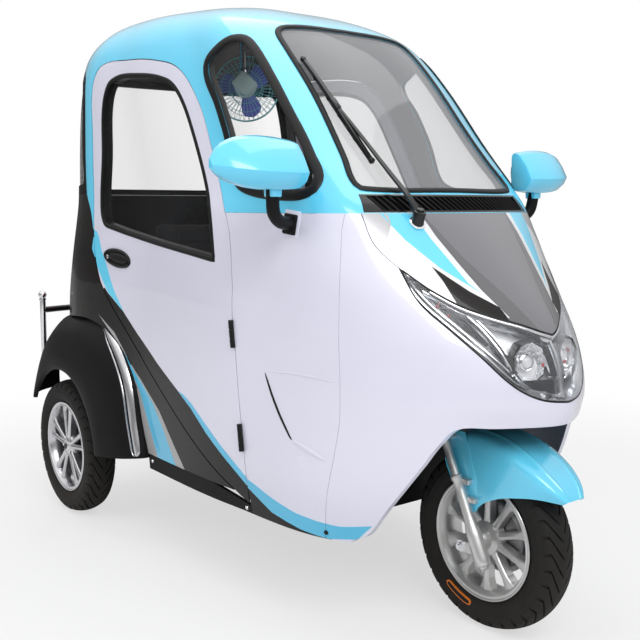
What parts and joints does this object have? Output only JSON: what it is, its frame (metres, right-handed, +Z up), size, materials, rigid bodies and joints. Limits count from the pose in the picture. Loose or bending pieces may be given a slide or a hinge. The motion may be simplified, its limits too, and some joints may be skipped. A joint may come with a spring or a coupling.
{
  "type": "enclosed three-wheeled mobility scooter",
  "caption": "Electric mobility scooter with a hard cabin, one steered front wheel, two rear wheels, front-hinged side doors, sloping windscreen, mirrors and a rear bumper.",
  "frame": {"origin": "on the ground, under the middle of the length, on the centre plane", "axes": "+X forward, +Y to the vehicle's left, +Z up"},
  "size_m": [2.2395, 1.344, 1.79],
  "materials": {
    "blue_paint": "gloss",
    "white_paint": "gloss",
    "charcoal_paint": "gloss",
    "black_moulding": "matte",
    "grey_paint": "gloss",
    "window_glass": "clear",
    "lamp_cover": "clear",
    "red_lamp": "gloss",
    "chrome": "polished",
    "silver": "satin",
    "steel": "satin",
    "tyre": "matte",
    "seat_cover": "satin",
    "teal_metal": "gloss",
    "violet_plastic": "gloss",
    "battery_case": "matte"
  },
  "bodies": {
    "chassis": {"battery_block": "battery_case", "cabin_shell": "blue_paint", "chassis_frame": "steel", "cowl_grille": "black_moulding", "dashboard": "black_moulding", "fan_cage": "teal_metal", "floor_pan": "black_moulding", "front_side_panel_left": "white_paint", "front_side_panel_right": "white_paint", "headlamp_lens": "lamp_cover", "headlamp_reflector": "chrome", "hood_panel": "grey_paint", "mirror_left": "blue_paint", "mirror_right": "blue_paint", "nose_panel": "white_paint", "quarter_panel_left": "charcoal_paint", "quarter_panel_right": "charcoal_paint", "quarter_window_left": "window_glass", "quarter_window_right": "window_glass", "rear_axle": "steel", "rear_bumper": "chrome", "rear_fender_left": "black_moulding", "rear_fender_right": "black_moulding", "rear_panel": "black_moulding", "rear_tub": "black_moulding", "rear_window": "window_glass", "rear_window_frame": "black_moulding", "seat_back": "seat_cover", "seat_base": "black_moulding", "seat_cushion": "seat_cover", "sill_left": "black_moulding", "sill_right": "black_moulding", "tail_lamp_left": "red_lamp", "tail_lamp_right": "red_lamp", "wheel_liner": "black_moulding", "windscreen": "window_glass", "wiper": "black_moulding"},
    "steering": {"fork": "silver", "front_fender": "blue_paint", "handlebar": "black_moulding"},
    "front_wheel": {"front_rim": "silver", "front_tyre": "tyre"},
    "rear_wheel_left": {"rear_rim_left": "silver", "rear_tyre_left": "tyre"},
    "rear_wheel_right": {"rear_rim_right": "silver", "rear_tyre_right": "tyre"},
    "fan_rotor": {"fan_blades": "violet_plastic"},
    "door_leaf_left": {"door_left": "white_paint", "door_glass_left": "window_glass", "door_handle_left": "black_moulding"},
    "door_leaf_right": {"door_right": "white_paint", "door_glass_right": "window_glass", "door_handle_right": "black_moulding"}
  },
  "joints": [
    {"name": "steering_turn", "type": "hinge", "parent": "chassis", "child": "steering", "pos_m": [0.862, 0, 0.2445], "axis": [-0.4305, 0, 0.9026], "range_deg": [-30, 30]},
    {"name": "front_wheel_spin", "type": "hinge", "parent": "steering", "child": "front_wheel", "pos_m": [0.85, 0, 0.2445], "axis": [0, 1, 0], "continuous": true},
    {"name": "rear_wheel_left_spin", "type": "hinge", "parent": "chassis", "child": "rear_wheel_left", "pos_m": [-0.75, 0.492, 0.2445], "axis": [0, 1, 0], "continuous": true},
    {"name": "rear_wheel_right_spin", "type": "hinge", "parent": "chassis", "child": "rear_wheel_right", "pos_m": [-0.75, -0.492, 0.2445], "axis": [0, 1, 0], "continuous": true},
    {"name": "door_left_swing", "type": "hinge", "parent": "chassis", "child": "door_leaf_left", "pos_m": [0.3195, 0.458, 0.48], "axis": [-0.0902, 0.0272, 0.9956], "range_deg": [-70, 0]},
    {"name": "door_right_swing", "type": "hinge", "parent": "chassis", "child": "door_leaf_right", "pos_m": [0.3195, -0.458, 0.48], "axis": [-0.0902, -0.0272, 0.9956], "range_deg": [0, 70]},
    {"name": "fan_spin", "type": "hinge", "parent": "chassis", "child": "fan_rotor", "pos_m": [-0.07, -0.17, 1.5], "axis": [-0.7611, 0.6409, -0.1001], "continuous": true}
  ]
}
